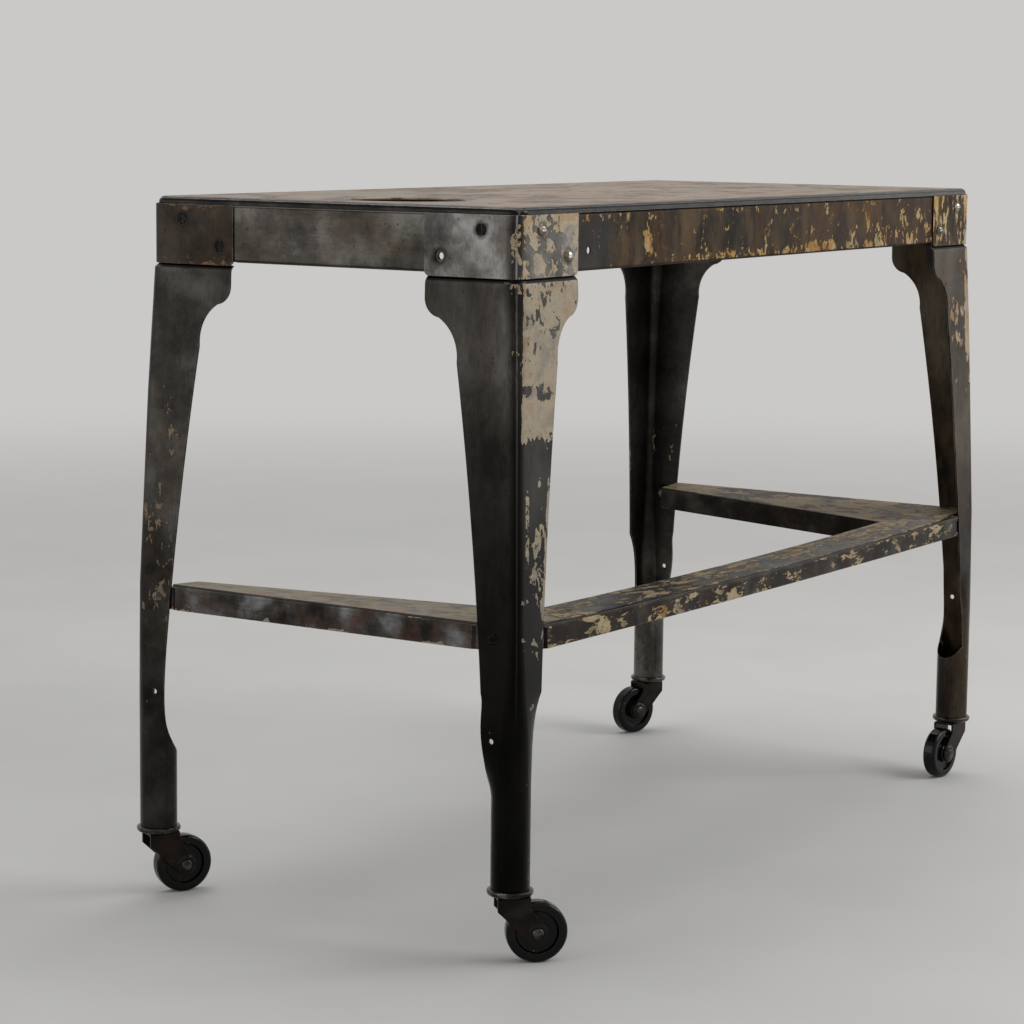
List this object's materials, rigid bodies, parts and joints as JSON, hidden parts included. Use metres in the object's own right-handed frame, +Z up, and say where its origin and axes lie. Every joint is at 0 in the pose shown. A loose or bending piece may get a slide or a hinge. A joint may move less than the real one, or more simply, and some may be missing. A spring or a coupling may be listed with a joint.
{
  "type": "typewriter table",
  "caption": "Narrow pressed-steel typewriter table: flat top with a round hole near one end, screwed corner plates, flared angle legs ending in tubes, three low rails and swivel casters.",
  "frame": {"origin": "on the floor below the middle of the whole outline at rest, casters included", "axes": "+X along the table's length, +Y towards the open knee side, +Z up"},
  "size_m": [0.9564, 0.4616, 0.66],
  "materials": {
    "top_paint": "worn satin",
    "apron_steel": "worn satin",
    "plate_steel": "worn satin",
    "leg_steel": "worn satin",
    "rail_steel": "worn satin",
    "fastener_steel": "aged",
    "wheel_black": "gloss",
    "fork_steel": "aged matte",
    "ring_steel": "polished by wear",
    "pin_steel": "satin"
  },
  "bodies": {
    "frame": {"apron_back": "apron_steel", "apron_front": "apron_steel", "apron_left": "apron_steel", "apron_right": "apron_steel", "caster_socket_back_left": "ring_steel", "caster_socket_back_right": "ring_steel", "caster_socket_front_left": "ring_steel", "caster_socket_front_right": "ring_steel", "corner_nuts_back_left": "fastener_steel", "corner_nuts_back_right": "fastener_steel", "corner_nuts_front_left": "fastener_steel", "corner_nuts_front_right": "fastener_steel", "corner_plate_back_left": "plate_steel", "corner_plate_back_right": "plate_steel", "corner_plate_front_left": "plate_steel", "corner_plate_front_right": "plate_steel", "corner_screws_back_left": "fastener_steel", "corner_screws_back_right": "fastener_steel", "corner_screws_front_left": "fastener_steel", "corner_screws_front_right": "fastener_steel", "end_rail_left": "rail_steel", "end_rail_right": "rail_steel", "front_rail": "rail_steel", "leg_back_left": "leg_steel", "leg_back_right": "leg_steel", "leg_front_left": "leg_steel", "leg_front_right": "leg_steel", "rail_nuts": "fastener_steel", "rail_screws": "fastener_steel", "top_sheet": "top_paint"},
    "fork_front_left": {"caster_stem_front_left": "pin_steel", "caster_fork_front_left": "fork_steel", "caster_axle_front_left": "pin_steel"},
    "wheel_front_left": {"caster_wheel_front_left": "wheel_black"},
    "fork_front_right": {"caster_stem_front_right": "pin_steel", "caster_fork_front_right": "fork_steel", "caster_axle_front_right": "pin_steel"},
    "wheel_front_right": {"caster_wheel_front_right": "wheel_black"},
    "fork_back_right": {"caster_stem_back_right": "pin_steel", "caster_fork_back_right": "fork_steel", "caster_axle_back_right": "pin_steel"},
    "wheel_back_right": {"caster_wheel_back_right": "wheel_black"},
    "fork_back_left": {"caster_stem_back_left": "pin_steel", "caster_fork_back_left": "fork_steel", "caster_axle_back_left": "pin_steel"},
    "wheel_back_left": {"caster_wheel_back_left": "wheel_black"}
  },
  "joints": [
    {"name": "swivel_front_left", "type": "hinge", "parent": "frame", "child": "fork_front_left", "pos_m": [-0.4575, -0.1893, 0.06], "axis": [0, 0, 1], "continuous": true},
    {"name": "roll_front_left", "type": "hinge", "parent": "fork_front_left", "child": "wheel_front_left", "pos_m": [-0.44177, -0.20677, 0.0275], "axis": [0.7431, 0.6691, 0], "continuous": true},
    {"name": "swivel_front_right", "type": "hinge", "parent": "frame", "child": "fork_front_right", "pos_m": [0.4575, -0.1893, 0.06], "axis": [0, 0, 1], "continuous": true},
    {"name": "roll_front_right", "type": "hinge", "parent": "fork_front_right", "child": "wheel_front_right", "pos_m": [0.43406, -0.18766, 0.0275], "axis": [-0.0698, -0.9976, 0], "continuous": true},
    {"name": "swivel_back_right", "type": "hinge", "parent": "frame", "child": "fork_back_right", "pos_m": [0.4575, 0.2087, 0.06], "axis": [0, 0, 1], "continuous": true},
    {"name": "roll_back_right", "type": "hinge", "parent": "fork_back_right", "child": "wheel_back_right", "pos_m": [0.43515, 0.21596, 0.0275], "axis": [-0.309, -0.9511, 0], "continuous": true},
    {"name": "swivel_back_left", "type": "hinge", "parent": "frame", "child": "fork_back_left", "pos_m": [-0.4575, 0.2087, 0.06], "axis": [0, 0, 1], "continuous": true},
    {"name": "roll_back_left", "type": "hinge", "parent": "fork_back_left", "child": "wheel_back_left", "pos_m": [-0.43715, 0.19695, 0.0275], "axis": [0.5, 0.866, 0], "continuous": true}
  ]
}
